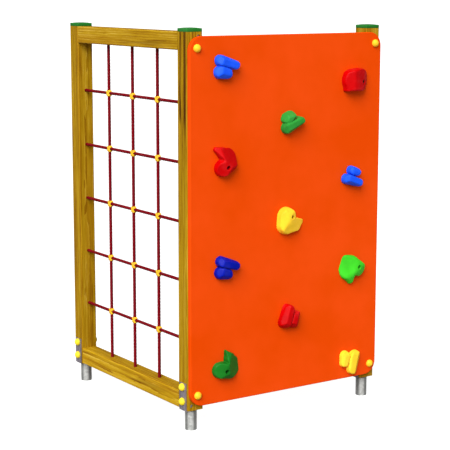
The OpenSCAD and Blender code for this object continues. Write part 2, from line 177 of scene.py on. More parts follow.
# ---------------------------------------------------------------- materials


def wood(name, grain, seed, light=1.0, dark=0.9):
    """Glazed pine. grain is the axis that it runs along, y or z; seed moves the pattern.

    light makes all of it paler, and dark is how strong its dark streaks are.
    """
    m = Mat(name, Specular_IOR_Level=0.04)
    along = {"y": (1, 0.06, 1), "z": (1, 1, 0.06)}[grain]
    turn = {"y": (math.pi / 2, 0, 0), "z": (0, 0, 0)}[grain]
    shift = (seed * 0.37, seed * 0.53, seed * 0.71)

    def stretched(k, squeeze=1.0):
        """Coordinates k times finer, and drawn out along the grain."""
        scale = tuple(k * (a * squeeze if a < 1 else 1) for a in along)
        return m.space(scale, shift)

    wander = m.noise(stretched(7), detail=3)
    fibre = m.noise(stretched(150, 0.4), detail=6, rough=0.75, distortion=0.3)
    bands = m.noise(stretched(24), detail=5, rough=0.6, distortion=0.8)
    rings = m.node(
        "TexWave", {"wave_type": "RINGS", "rings_direction": "Z", "wave_profile": "SAW"},
        Vector=m.node(
            "Mapping",
            Vector=m.coords.outputs["Object"],
            Rotation=turn,
            Location=(0.11 + seed * 0.013, 0.17 - seed * 0.011, seed * 0.3),
            Scale=tuple(a if a == 1 else 0.09 for a in along),
        ).outputs[0],
        Scale=26.0, Distortion=5.0, Detail=3.0, Detail_Scale=1.4, Detail_Roughness=0.6,
    ).outputs["Fac"]
    tone = m.math("ADD", m.math("MULTIPLY", bands, 0.42), m.math("MULTIPLY", fibre, 0.62))
    tone = m.math("ADD", tone, m.math("MULTIPLY", rings, 0.17))
    tone = m.math("ADD", tone, m.range(wander, 0.3, 0.7, -0.13, -0.01))

    def lit(r, g, b):
        return shade(srgb(r, g, b), light)

    colour = m.ramp(tone, [
        (0.30, lit(84, 44, 2)), (0.43, lit(128, 88, 5)), (0.52, lit(152, 115, 9)),
        (0.62, lit(170, 134, 22)), (0.76, lit(200, 168, 72)),
    ])
    split = m.noise(stretched(46, 0.5), detail=3, rough=0.5, distortion=0.5)
    patch = m.noise(stretched(9, 3.0), detail=1)
    if grain == "z":
        # A post has more of its dark streaks near the top
        height_up = m.node("SeparateXYZ", Vector=m.coords.outputs["Object"]).outputs[2]
        patch = m.math("ADD", patch, m.range(height_up, 1.0, 1.9, -0.12, 0.06))
    streak = m.ramp(split, [(0.50, 0.0), (0.58, 1.0)])
    crack = m.math("MULTIPLY", streak, m.ramp(patch, [(0.52, 0.0), (0.60, 1.0)]))
    red = m.noise(stretched(10, 0.6), detail=2)
    colour = m.mix(m.ramp(red, [(0.5, 0.0), (0.72, 0.5)]), colour, lit(140, 86, 10))
    colour = m.mix(m.math("MULTIPLY", crack, dark), colour, lit(66, 26, 2))
    height = m.math("SUBTRACT", m.math("MULTIPLY", tone, 0.5), crack)
    return m.set(
        Base_Color=colour,
        Roughness=m.range(fibre, 0.3, 0.7, 0.42, 0.62),
        Normal=m.bump(height, 0.35, 0.0012),
    )


def moulded(name, colour, rough=0.38, grit=0.25, tone=0.06):
    """Moulded plastic: fine grit, pale specks, slow tone changes, worn duller spots."""
    m = Mat(name, Specular_IOR_Level=0.07)
    where = m.space()
    slow = m.noise(where, scale=9.0, detail=3)
    fine = m.noise(where, scale=700.0, detail=3, rough=0.7)
    specks = m.noise(where, scale=385.0, detail=1)
    deep = shade(colour, 1 - 2.2 * tone)
    pale = shade(colour, 1 + tone, 0.012)
    base = m.ramp(slow, [(0.32, deep), (0.5, colour), (0.7, pale)])
    base = m.mix(m.ramp(specks, [(0.66, 0.0), (0.74, 0.35)]), base, pale)
    scuff = m.noise(where, scale=38.0, detail=6, rough=0.7)
    return m.set(
        Base_Color=base,
        Roughness=m.range(scuff, 0.35, 0.7, rough - 0.06, rough + 0.14),
        Normal=m.bump(fine, grit, 0.0006),
    )


def board(name, colour):
    """Extruded polyethylene board: leather-like micro grain, faint handling marks."""
    m = Mat(name, Specular_IOR_Level=0.03)
    where = m.space()
    grain = m.noise(where, scale=620.0, detail=4, rough=0.65)
    slow = m.noise(where, scale=3.2, detail=3)
    marks = m.noise(m.space((9, 9, 46)), scale=1.0, detail=7, rough=0.75, distortion=0.4)
    base = m.ramp(slow, [(0.35, shade(colour, 0.95)), (0.65, shade(colour, 1.03, 0.003))])
    base = m.mix(m.ramp(marks, [(0.64, 0.0), (0.72, 0.10)]), base, srgb(244, 92, 20))
    return m.set(
        Base_Color=base,
        Roughness=m.range(marks, 0.35, 0.7, 0.46, 0.60),
        Normal=m.bump(grain, 0.18, 0.0005),
    )


def zinc(name, colour, painted_shade_stripes=0.0):
    """Hot-dip galvanised steel with crystal spangle.

    It has scattered dull streaks, or else, when its last argument is set, four stripes of painted shade down
    a tube with painted highlight bands between them; that argument is how strong the stripes are.
    """
    m = Mat(name, Metallic=0.45, Specular_IOR_Level=0.3)
    where = m.space()
    cells = m.node("TexVoronoi", {"feature": "F1"}, Vector=where, Scale=95.0, Randomness=1.0)
    grey = m.node("RGBToBW", Color=cells.outputs["Color"]).outputs[0]
    cloud = m.noise(where, scale=16.0, detail=5)
    run = m.noise(m.space((60, 60, 4)), detail=4, distortion=0.4)
    base = m.mix(m.range(grey, 0.2, 0.8, 0.0, 1.0), shade(colour, 0.76), colour)
    if painted_shade_stripes:
        # Painted shade and painted highlight: the colour darkens in four stripes down the tube where the
        # surface is turned half way from one fixed side, and stays light in bands that face that side, face
        # away from it or lie square to it.
        normal = m.coords.outputs["Normal"]
        facing = m.node("VectorMath", {"operation": "DOT_PRODUCT"}, i0=normal, i1=PAINTED_HIGHLIGHT_SIDE)
        square = m.math("POWER", m.math("ABSOLUTE", facing.outputs["Value"]), 2.0)
        wave = m.math("MULTIPLY", m.math("MULTIPLY", square, m.math("SUBTRACT", 1.0, square)), 4.0)
        wave = m.math("ADD", wave, m.range(run, 0.3, 0.7, -0.2, 0.2))
        streaks_and_painted_shade = m.math("MULTIPLY", m.ramp(wave, [(0.35, 0.0), (0.9, 1.0)]), painted_shade_stripes)
    else:
        streaks_and_painted_shade = m.ramp(run, [(0.48, 0.0), (0.60, 0.5)])
    # Darkens the colour by the scattered dull streaks, and on a striped tube by the painted shade instead.
    base = m.mix(streaks_and_painted_shade, base, shade(colour, 0.25))
    base = m.mix(m.ramp(cloud, [(0.45, 0.0), (0.75, 0.35)]), base, shade(colour, 0.72))
    return m.set(
        Base_Color=base,
        Roughness=m.range(m.math("ADD", grey, run), 0.5, 1.5, 0.28, 0.50),
        Normal=m.bump(m.math("ADD", m.math("MULTIPLY", grey, 0.4), cloud), 0.12, 0.0006),
    )


def steel(name, colour, rough=0.28):
    """Bright, dull or blackened metal of the fasteners, with turning marks and small tone changes."""
    m = Mat(name, Metallic=1.0)
    brushed = m.noise(m.space((1400, 1400, 90)), detail=3)
    cloud = m.noise(m.space(), scale=60.0, detail=4)
    base = m.ramp(cloud, [(0.3, shade(colour, 0.78)), (0.7, colour)])
    return m.set(
        Base_Color=base,
        Roughness=m.range(brushed, 0.3, 0.7, rough - 0.08, rough + 0.12),
        Normal=m.bump(brushed, 0.08, 0.0003),
    )


def twine(name, colour):
    """Braided polyester over steel strands: the UV runs along each strand (u) and across it (v)."""
    m = Mat(name, Specular_IOR_Level=0.08)
    uv = m.coords.outputs["UV"]
    slant = m.node("Mapping", Vector=uv, Rotation=(0, 0, 0.62)).outputs[0]
    yarn = m.node(
        "TexWave", {"wave_type": "BANDS", "bands_direction": "X", "wave_profile": "SIN"},
        Vector=slant, Scale=1.15, Distortion=0.8, Detail=2.0, Detail_Scale=2.0,
    ).outputs["Fac"]
    fuzz = m.noise(m.space(), scale=900.0, detail=3)
    fade = m.noise(m.space(), scale=7.0, detail=4)
    # Painted shade and painted highlight: the yarn bands are darker in the grooves between the yarns and
    # paler on their crowns; the slow fade towards the darker colour is the rope's own tone.
    deep = shade(colour, 0.42)
    pale = shade(colour, 1.5, 0.004)
    base = m.ramp(yarn, [(0.1, deep), (0.5, colour), (0.95, pale)])
    base = m.mix(m.ramp(fade, [(0.35, 0.0), (0.8, 0.35)]), base, deep)
    return m.set(
        Base_Color=base,
        Roughness=m.range(fuzz, 0.3, 0.7, 0.55, 0.8),
        Normal=m.bump(m.math("ADD", yarn, m.math("MULTIPLY", fuzz, 0.4)), 0.5, 0.0005),
    )


WOOD_POST = wood("timber_post", "z", 1)
WOOD_NET_END = wood("timber_post_net_end", "z", 6)
WOOD_TOP = wood("timber_rail_top", "y", 2, light=1.05, dark=0.35)
WOOD_LOW = wood("timber_rail_bottom", "y", 5, light=1.2, dark=0.35)
WOOD_PLUG = wood("timber_plug", "z", 7, light=0.8)
ORANGE = board("panel_orange", srgb(219, 68, 0))
GREEN_CAP = moulded("cap_green", srgb(34, 112, 40), rough=0.42)
LEMON = moulded("plastic_lemon", srgb(228, 204, 44), rough=0.34, grit=0.12)
YELLOW = moulded("plastic_yellow", srgb(240, 188, 40), rough=0.34, grit=0.12)
# The tubes' four painted highlight bands lie on this side, on the opposite one and square to both, with
# stripes of painted shade between them. It is the side that the photo shows, and the bands stay where they
# are in every view.
PAINTED_HIGHLIGHT_SIDE = (-0.559, -0.829, 0.0)
ZINC = zinc("galvanised_steel", srgb(200, 201, 197), painted_shade_stripes=0.8)
ZINC_STRAP = zinc("galvanised_strap", srgb(150, 142, 152))
BLACK = steel("blackened_steel", srgb(52, 50, 48), rough=0.45)
STEEL = steel("fastener_steel", srgb(190, 190, 192))
ALUMINIUM = steel("ferrule_aluminium", srgb(214, 215, 218), rough=0.34)
ROPE = twine("rope_maroon", srgb(118, 0, 14))
HOLD_MATS = {k: moulded("hold_" + k, c, rough=0.36, grit=0.4, tone=0.08) for k, c in HOLD_COLOURS.items()}

# ---------------------------------------------------------------- meshes


def piece(name, verts, faces, material, replaces, flat=(), uvs=None):
    """A new part of the object: mesh from points in metres, smooth except for the faces in flat."""
    mesh = bpy.data.meshes.new(name)
    mesh.from_pydata([tuple(v) for v in verts], [], [tuple(int(i) for i in f) for f in faces])
    smooth = np.ones(len(mesh.polygons), bool)
    smooth[list(flat)] = False
    mesh.polygons.foreach_set("use_smooth", smooth)
    if uvs is not None:
        layer = mesh.uv_layers.new(name="strand")
        loops = np.zeros(len(mesh.loops), np.int64)
        mesh.loops.foreach_get("vertex_index", loops)
        layer.data.foreach_set("uv", np.asarray(uvs, np.float32)[loops].ravel())
    mesh.update()
    obj = bpy.data.objects.new(name, mesh)
    bpy.context.scene.collection.objects.link(obj)
    obj.data.materials.append(material)
    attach(obj, BODY)
    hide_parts(*replaces)


def rounded_ring(half_a, half_b, r, steps):
    """Corner-rounded rectangle about the origin, anticlockwise, always 4 * (steps + 1) points."""
    points = []
    for k, (sa, sb) in enumerate(((1, 1), (-1, 1), (-1, -1), (1, -1))):
        for i in range(steps + 1):
            t = math.pi / 2 * (k + i / steps)
            points.append((sa * (half_a - r) + r * math.cos(t), sb * (half_b - r) + r * math.sin(t)))
    return points


def loft(rings, place):
    """Joins rings of equal length, each (points, height), and closes both ends.

    place carries (a, b, height) to a point of the scene. The numbers of the two end faces come last.
    """
    n = len(rings[0][0])
    verts = [place(a, b, h) for points, h in rings for a, b in points]
    faces = []
    for k in range(len(rings) - 1):
        for i in range(n):
            j = (i + 1) % n
            faces.append((k * n + i, k * n + j, (k + 1) * n + j, (k + 1) * n + i))
    faces.append(tuple(reversed(range(n))))
    faces.append(tuple(range((len(rings) - 1) * n, len(rings) * n)))
    return verts, faces, (len(faces) - 2, len(faces) - 1)


def round_over(radius, steps):
    """(inset, rise) pairs round a quarter turn, from the side face to the top face."""
    turn = [math.radians(90.0 * i / steps) for i in range(steps + 1)]
    return [(radius * (1 - math.cos(t)), radius * math.sin(t)) for t in turn]


# ---------------------------------------------------------------- climbing panel

PANEL_EDGE = 4 * MM
PANEL_CORNER = 72 * MM
EDGE_STEPS = 5
CORNER_STEPS = 20


def make_panel():
    """The sheet, with round corners and with its front and back edges rounded over."""
    mid = (panel_lo + panel_hi) / 2
    half_a, half_b = (panel_hi.x - panel_lo.x) / 2, (panel_hi.z - panel_lo.z) / 2
    thick = panel_hi.y - panel_lo.y

    def outline(inset):
        return rounded_ring(half_a - inset, half_b - inset, PANEL_CORNER - inset, CORNER_STEPS)

    over = round_over(PANEL_EDGE, EDGE_STEPS)
    rings = [(outline(inset), PANEL_EDGE - rise) for inset, rise in reversed(over)]
    rings += [(outline(inset), thick - PANEL_EDGE + rise) for inset, rise in over]
    verts, faces, ends = loft(rings, lambda a, b, h: (mid.x + a, panel_hi.y - h, mid.z + b))
    piece("panel_board", verts, faces, ORANGE, ["climbing_panel"], flat=ends)


# ---------------------------------------------------------------- post caps

CAP_LIP = 13 * MM
CAP_FOOT = 1 * MM
CAP_CORNER = 5 * MM
CAP_SHOULDER = 2 * MM
CAP_TOP_CORNER = 8 * MM
# The low dome over the lip: how far in from the side, and how far below the top
CAP_DOME = [(9 * MM, 2.2 * MM), (14 * MM, 1.2 * MM), (21 * MM, 0.4 * MM), (27 * MM, 0.0)]
CAP_STEPS = 8


def make_cap(node):
    """A square lip round the post's end, a rounded shoulder and a low dome."""
    lo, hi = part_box(node)
    mid = centre(node)
    half = (hi.x - lo.x) / 2
    top = hi.z - timber_top

    def outline(inset, corner):
        return rounded_ring(half - inset, half - inset, corner, CAP_STEPS)

    rings = [(outline(CAP_FOOT, CAP_CORNER - CAP_FOOT), 0.0), (outline(0.0, CAP_CORNER), CAP_FOOT)]
    for inset, rise in round_over(CAP_SHOULDER, EDGE_STEPS):
        rings.append((outline(inset, CAP_CORNER - inset), CAP_LIP + rise + CAP_SHOULDER))
    for inset, below in CAP_DOME:
        rings.append((outline(inset, CAP_TOP_CORNER), top - below))
    verts, faces, ends = loft(rings, lambda a, b, h: (mid.x + a, mid.y + b, timber_top + h))
    piece(node + "_cover", verts, faces, GREEN_CAP, [node], flat=ends)


# ---------------------------------------------------------------- solids from distance fields


def smax(a, b, k):
    """Larger of two distances, with a rounding of about k where they cross."""
    return np.maximum(a, b) + np.maximum(k - np.abs(a - b), 0) ** 2 / (4 * k)


def smin(a, b, k):
    """Smaller of two distances, rounded in the same way."""
    return -smax(-a, -b, k)


def skin(field, lo, step):
    """Surface of field < 0 on a grid that starts at lo: points and four-sided faces (naive surface nets)."""
    inside = field < 0
    n = np.array(field.shape) - 1
    count = np.zeros(n, int)
    total = np.zeros(tuple(n) + (3,))
    crossings = np.zeros(n)
    corner = {}
    for o in np.ndindex(2, 2, 2):
        part = tuple(slice(o[i], o[i] + n[i]) for i in range(3))
        corner[o] = part
        count += inside[part]
    for axis in range(3):
        for o in np.ndindex(2, 2, 2):
            if o[axis]:
                continue
            far = tuple(1 if i == axis else o[i] for i in range(3))
            a, b = field[corner[o]], field[corner[far]]
            cut = (a < 0) != (b < 0)
            with np.errstate(divide="ignore", invalid="ignore"):
                t = np.where(cut, a / (a - b), 0)
            for i in range(3):
                total[..., i] += np.where(cut, o[i] + (t if i == axis else 0), 0)
            crossings += cut
    live = (count > 0) & (count < 8)
    index = np.full(n, -1)
    index[live] = np.arange(live.sum())
    base = np.argwhere(live)
    verts = (base + total[live] / crossings[live][:, None]) * step + np.array(lo)
    quads = []
    for axis in range(3):
        u, v = (axis + 1) % 3, (axis + 2) % 3
        near = [slice(None)] * 3
        far = [slice(None)] * 3
        near[axis], far[axis] = slice(0, -1), slice(1, None)
        change = inside[tuple(near)] != inside[tuple(far)]
        at = np.argwhere(change)
        at = at[(at[:, u] > 0) & (at[:, v] > 0) & (at[:, u] < n[u]) & (at[:, v] < n[v])]
        flip = inside[tuple(near)][tuple(at.T)]
        four = []
        for du, dv in ((-1, -1), (0, -1), (0, 0), (-1, 0)):
            q = at.copy()
            q[:, u] += du
            q[:, v] += dv
            four.append(index[tuple(q.T)])
        four = np.stack(four, 1)
        four[~flip] = four[~flip][:, ::-1]
        quads.append(four)
    return verts, np.concatenate(quads)


def relax(verts, quads, rounds, amount=0.5):
    """Evens out the grid's small steps without shrinking the shape."""
    edges = np.concatenate([quads[:, [i, (i + 1) % 4]] for i in range(4)])
    degree = np.bincount(edges.ravel(), minlength=len(verts)).astype(float)
    for _ in range(rounds):
        for push in (amount, -amount * 0.98):
            pull = np.zeros_like(verts)
            for i in range(3):
                pull[:, i] = np.bincount(edges[:, 0], verts[edges[:, 1], i], len(verts))
                pull[:, i] += np.bincount(edges[:, 1], verts[edges[:, 0], i], len(verts))
            verts = verts + push * (pull / degree[:, None] - verts)
    return verts


def grid(lo, hi, step):
    """Coordinates of every point of a grid over a box."""
    axes = [np.arange(a, b + step, step) for a, b in zip(lo, hi)]
    return np.meshgrid(*axes, indexing="ij")


def bar(u, v, a, b, ra, rb):
    """Distance to a flat bar from a to b whose round ends have radii ra and rb."""
    a, b = np.array(a, float), np.array(b, float)
    d = b - a
    t = np.clip(((u - a[0]) * d[0] + (v - a[1]) * d[1]) / (d @ d), 0, 1)
    return np.hypot(u - a[0] - t * d[0], v - a[1] - t * d[1]) - (ra + t * (rb - ra))


def plane(p, normal, at):
    """Distance in front of a plane through at."""
    n = np.array(normal, float)
    n /= np.linalg.norm(n)
    return sum((p[i] - at[i]) * n[i] for i in range(3))


def block(p, outline, height, draft, edge):
    """An outline raised to a height: its sides lean in by draft, and edge rounds its rim."""
    return smax(outline * 0.98 + draft * p[2], p[2] - height, edge)


# ---------------------------------------------------------------- climbing holds

# The two bars of a twin hold: (u, v, radius) of one end, then of the other
LONG = (-36, 25, 29, 43, 21, 25)
SHORT = (-24, -31, 33, 9, -29, 29)
HOLD_HOLE_R = 5.5


def twin(p, mirror, long=LONG, short=SHORT, low=1.0, cuts=()):
    """Two bars side by side, with a low web between them.

    low flattens the bars, and cuts are more facets of the short one: each is (normal, point on it).
    """
    u, v = p[0], -p[1] if mirror else p[1]
    q = (u, v, p[2] * low)
    long_bar = block(q, bar(u, v, long[0:2], long[3:5], long[2], long[5]), 50 - 0.03 * u, 0.07, 12)
    long_bar = smax(long_bar, plane(q, (0.02, 0.80, 0.60), (0, long[1] + 17, 38)), 3)
    long_bar = smax(long_bar, plane(q, (-0.75, 0.10, 0.65), (-50, 27, 40)), 5)
    short_bar = block(q, bar(u, v, short[0:2], short[3:5], short[2], short[5]), 46 - 0.05 * u, 0.07, 12)
    short_bar = smax(short_bar, plane(q, (0.05, -0.66, 0.75), (0, short[1] - 16, 38)), 4)
    short_bar = smax(short_bar, plane(q, (-0.70, 0.0, 0.70), (-40, -30, 37)), 5)
    short_bar = smax(short_bar, plane(q, (0.93, 0.36, 0.10), (30, -12, 20)), 4)
    for normal, at in cuts:
        short_bar = smax(short_bar, plane(q, normal, at), 4)
    web = block(p, np.hypot(u, v) - 15, 25, 0, 3)
    return smin(smin(long_bar, short_bar, 1), web, 2)


def notched(body, p, at, r):
    """Takes a round notch with a sloping wall out of a body."""
    return smax(body, r - np.hypot(p[0] - at[0], p[1] - at[1]) - 0.12 * p[2], 4)


def hook(
    p, soft=1,
    heel=(-20, 4, 44), belly=(58, 16, 50), shoulder=(38, 58, 32), tip=(16, 97, 8), notch=(-30, 70, 26),
):
    """A massive body, a horn that points up, and a round notch left of the horn.

    The circles that give the outline are (u, v, radius), and soft widens the rounding between the facets.
    """
    u, v = p[:2]

    def link(one, other):
        return bar(u, v, one[:2], other[:2], one[2], other[2])

    seat = (30, -2, 45)
    outline = smin(smin(link(heel, seat), link(seat, belly), 6), link(belly, shoulder), 6 * soft)
    outline = smin(outline, link(shoulder, tip), 4)
    body = block(p, outline, 51, 0.12, 12)
    body = smax(body, plane(p, (0.50, 0.06, 0.87), (14, 10, 50)), 3 * soft)
    body = smax(body, plane(p, (-0.45, 0.10, 0.90), (-8, 10, 48)), 4 * soft)
    body = smax(body, plane(p, (0.02, -0.62, 0.78), (0, -24, 46)), 5 * soft)
    body = smax(body, plane(p, (-0.12, 0.45, 0.88), (10, 48, 46)), 4 * soft)
    return notched(body, p, notch[:2], notch[2])


def round_hook(p):
    """A broad round body with a wide short horn."""
    u, v = p[:2]
    outline = smin(bar(u, v, (4, -16), (44, -14), 52, 50), bar(u, v, (46, -6), (36, 52), 48, 37), 8)
    outline = smin(outline, bar(u, v, (36, 52), (14, 102), 36, 9), 4)
    body = block(p, outline, 54, 0.14, 14)
    body = smax(body, plane(p, (-0.06, 0.42, 0.90), (0, -8, 52)), 4)
    body = smax(body, plane(p, (0.34, 0.12, 0.93), (36, 0, 50)), 8)
    body = smax(body, plane(p, (0.05, -0.52, 0.85), (0, -36, 50)), 5)
    body = smax(body, plane(p, (-0.60, 0.0, 0.80), (-24, 0, 46)), 6)
    return notched(body, p, (-20, 68), 25)


def sloper(p):
    """A broad hold, straight at its back, that runs down to the bolt."""
    u, v, w = p
    outline = smin(bar(u, v, (-90, 42), (-94, -38), 15, 14), bar(u, v, (-56, 8), (-17, 8), 61, 65), 8)
    outline = smax(outline, plane((u, v, 0 * w), (0.05, -1, 0), (0, -50, 0)), 12)
    body = block(p, outline, 58, 0.08, 14)
    body = smax(body, plane(p, (0.30, 0.05, 0.95), (-46, 0, 57)), 6)
    body = smax(body, plane(p, (0.62, -0.05, 0.78), (10, 0, 39)), 8)
    return smax(body, plane(p, (-0.55, 0.0, 0.83), (-78, 0, 53)), 6)


def recess(p, field, radius=10, floor=18):
    """Bolt recess down to its floor, and the bolt's bore below it."""
    r = np.hypot(p[0], p[1])
    field = smax(field, -np.maximum(r - radius, floor - p[2]), 2)
    return np.maximum(field, HOLD_HOLE_R - r)


def hook_04(p):
    return recess(p, hook(
        p,
        heel=(-15, 7, 43), belly=(47, 20, 48), shoulder=(38, 62, 30), tip=(24, 100, 14), notch=(-42, 84, 30),
    ))


def hook_08(p):
    return recess(p, hook(
        p, soft=3,
        belly=(58, 18, 51), shoulder=(38, 48, 44), tip=(-6, 84, 17), notch=(-46, 64, 25),
    ))


def twin_03(p):
    cuts = (((-0.70, -0.60, 0.40), (-38, -38, 20)), ((0.34, -0.80, 0.50), (0, -48, 26)))
    return twin(p, True, (-34, 16, 32, 46, 14, 24), (-20, -30, 29, 14, -38, 22), cuts=cuts)


def twin_05(p):
    return twin(p, True, (-34, 27, 28, 37, 24, 24), (-18, -24, 26, 9, -25, 23))


def twin_09(p):
    return twin(p, False, (-36, 27, 31, 36, 25, 28), (-25, -28, 30, 18, -28, 27))


def twin_11(p):
    return twin(p, False, (-22, 36, 40, 38, 33, 35), (-23, -33, 30, 14, -31, 25), low=1.6)


# Node, place on the panel (x, z), turn in degrees, colour and shape; places and turns are the CAD's
HOLDS = [
    ("hold_01_blue_twin", (154, 1837), -14, "blue", lambda p: twin(p, False)),
    ("hold_02_red_sloper", (1010, 1735), 0, "red", lambda p: recess(p, sloper(p))),
    ("hold_03_green_twin", (559, 1546), 23, "green", twin_03),
    ("hold_04_red_hook", (152, 1343), 43, "red", hook_04),
    ("hold_05_blue_twin", (967, 1240), -20, "blue", twin_05),
    ("hold_06_yellow_hook", (550, 1060), -100, "yellow", lambda p: recess(p, round_hook(p))),
    ("hold_07_navy_twin", (158, 834), -15, "navy", lambda p: twin(p, False)),
    ("hold_08_lime_hook", (997, 749), 152, "lime", hook_08),
    ("hold_09_red_twin", (559, 530), 72, "red", twin_09),
    ("hold_10_green_hook", (145, 304), 0, "dark_green", lambda p: recess(p, hook(p))),
    ("hold_11_yellow_twin", (962, 233), -102, "yellow", twin_11),
]
HOLD_STEP = 2.0
HOLD_REACH = ((-126, -110, -4), (124, 126, 64))


def make_holds():
    """Every hold's mould, cut off flat at the panel, turned and put in its place."""
    space = grid(*HOLD_REACH, HOLD_STEP)
    start = [g.ravel()[0] for g in space]
    for node, (hold_x, hold_z), angle, colour, shape in HOLDS:
        field = np.maximum(shape(space), -space[2])
        verts, quads = skin(field, start, HOLD_STEP)
        verts = relax(verts, quads, 2)
        verts[:, 2] = np.maximum(verts[:, 2], 0)
        c, s = math.cos(math.radians(angle)), math.sin(math.radians(angle))
        placed = np.stack([
            hold_x * MM + (verts[:, 0] * c - verts[:, 1] * s) * MM,
            panel_front - verts[:, 2] * MM,
            hold_z * MM + (verts[:, 0] * s + verts[:, 1] * c) * MM,
        ], 1)
        piece(node + "_mould", placed, quads, HOLD_MATS[colour], [node])


# ---------------------------------------------------------------- ropes

# To the tops of the strands, which stand a little proud of the CAD's plain rope
ROPE_R = 8.7 * MM
STRANDS = 6
STRAND_POINTS = 6
LAY = 104 * MM
RING_STEP = 5 * MM
YARN = 6 * MM
# Where a level rope runs through an upright one: its size there, half the neck's length, and the run up to it
NECK = 4.5 / 8
NECK_HALF = 9 * MM
NECK_RUN = 7 * MM


def strand_outline():
    """Outline of the strands round a core, as (angle, radius, place across its strand)."""
    out = []
    pitch = 2 * math.pi / STRANDS
    reach, own = ROPE_R * 2 / 3, ROPE_R / 3
    for s in range(STRANDS):
        for k in range(STRAND_POINTS):
            t = -0.5 + (k + 0.5) / STRAND_POINTS
            side = reach * math.sin(t * pitch)
            r = reach * math.cos(t * pitch) + math.sqrt(max(0.0, own * own - side * side))
            out.append((s * pitch + t * pitch, r, s + t + 0.5))
    return out


OUTLINE = strand_outline()


def twisted(start, end, axis, necks):
    """A laid rope along one axis, squeezed at the places in necks."""
    length = end - start
    rows = np.linspace(0, length, int(length / RING_STEP) + 1)
    verts, uvs, faces = [], [], []
    n = len(OUTLINE)
    for s in rows:
        at = start + s
        gap = min((abs(at - y) for y in necks), default=1.0)
        t = min(1.0, max(0.0, (gap - NECK_HALF) / NECK_RUN))
        size = NECK + (1 - NECK) * t * t * (3 - 2 * t)
        twist = 2 * math.pi * s / LAY
        for angle, r, across in OUTLINE:
            a, b = size * r * math.cos(angle + twist), size * r * math.sin(angle + twist)
            verts.append((a, at, b) if axis == "y" else (b, a, at))
            uvs.append((s / YARN, across))
    for k in range(len(rows) - 1):
        for i in range(n):
            j = (i + 1) % n
            quad = (k * n + i, (k + 1) * n + i, (k + 1) * n + j, k * n + j)
            faces.append(quad if axis == "y" else quad[::-1])
    caps = [tuple(range(n)), tuple(reversed(range((len(rows) - 1) * n, len(rows) * n)))]
    faces += caps if axis == "y" else [c[::-1] for c in caps]
    return verts, faces, uvs


def lay_rope(node, axis, necks):
    """The laid rope that takes the place of a CAD rope."""
    lo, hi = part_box(node)
    way = "xyz".index(axis)
    verts, faces, uvs = twisted(lo[way], hi[way], axis, necks)
    at = centre(node)
    at[way] = 0
    verts = [(x + at.x, y + at.y, z + at.z) for x, y, z in verts]
    ends = (len(faces) - 2, len(faces) - 1)
    piece(node + "_laid", verts, faces, ROPE, [node], flat=ends, uvs=uvs)


# ---------------------------------------------------------------- cross connectors

CONNECTOR_STEP = 1.0
CONNECTOR_SPACE = ((-13, -20, -20), (13, 20, 20))
conn_lo, conn_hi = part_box("connector_outer_shells")
# The box holds one half shell of each connector, so the whole depth is twice its depth from the net's plane
CONN_DEEP = 2 * max(-conn_lo.x, conn_hi.x) / MM
CONN_REACH = (conn_hi.y - upright_ys[-1]) / MM
# The rest of a connector, in millimetres: its four lobes, its collars, the rope channels, the screws, and the
# gap from each half to the middle
LOBE_R = 8.0
COLLAR_R = 10.0
CHANNEL_R = 8.15
SCREW_AT = 10.5
SCREW_R = 1.6
SCREW_HEAD_R = 3.0
SCREW_HEAD_DEEP = 2.2
SPLIT = 0.12


def connector(p, side):
    """One half shell: x is across the net, y along the level rope, z along the upright rope."""
    x, y, z = p
    off = CONN_REACH - LOBE_R
    lobes = [np.hypot(y - sy * off, z - sz * off) for sy in (-1, 1) for sz in (-1, 1)]
    lobes = np.minimum.reduce(lobes) - LOBE_R
    square = np.maximum(np.abs(y), np.abs(z)) - (off + 1.0)
    collars = np.minimum(np.hypot(x, z), np.hypot(x, y)) - COLLAR_R
    collars = np.maximum(collars, np.maximum(np.abs(y), np.abs(z)) - CONN_REACH)
    body = smin(smin(lobes, square, 3), collars, 2)
    body = smax(body, np.abs(x) - CONN_DEEP / 2 + 0.12 * np.hypot(y, z) - 1.2, 4)
    body = np.maximum(body, np.abs(x) - CONN_DEEP / 2)
    body = np.maximum(body, CHANNEL_R - np.hypot(x, z))
    body = np.maximum(body, CHANNEL_R - np.hypot(x, y))
    bore = np.where(side * x > CONN_DEEP / 2 - SCREW_HEAD_DEEP, SCREW_HEAD_R, SCREW_R)
    for s in (-1, 1):
        body = np.maximum(body, bore - np.hypot(y - s * SCREW_AT, z - s * SCREW_AT))
    return np.maximum(body, SPLIT - side * x)


def make_connectors(node, side):
    """All the shells on one side of the net, one at each crossing."""
    space = grid(*CONNECTOR_SPACE, CONNECTOR_STEP)
    start = [g.ravel()[0] for g in space]
    verts, quads = skin(connector(space, side), start, CONNECTOR_STEP)
    verts = relax(verts, quads, 1)
    spots = [(0.0, y, z) for y in upright_ys for z in level_zs]
    all_verts = np.concatenate([verts * MM + np.array(spot) for spot in spots])
    all_quads = np.concatenate([quads + i * len(verts) for i in range(len(spots))])
    piece(node + "_moulded", all_verts, all_quads, YELLOW, [node])


# ---------------------------------------------------------------- finishes of the CAD parts that stay

# The first of these that a node's name starts with gives its material; all the others are plain steel
FINISH = {
    "post_net_end": WOOD_NET_END, "post": WOOD_POST, "rail_top": WOOD_TOP, "rail_bottom": WOOD_LOW,
    "hold_bolts": BLACK, "rope_plugs": WOOD_PLUG, "rope_ferrules": ALUMINIUM,
    "anchor_strap": ZINC_STRAP, "foot_tube": ZINC, "anchor_bolt_caps": LEMON, "panel_screw_caps": YELLOW,
}


def finish_cad_parts():
    """Materials of the CAD nodes that no piece above takes the place of."""
    for name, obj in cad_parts.items():
        if obj.hide_render:
            continue
        obj.data.materials.clear()
        obj.data.materials.append(next((m for start, m in FINISH.items() if name.startswith(start)), STEEL))


# ---------------------------------------------------------------- stage

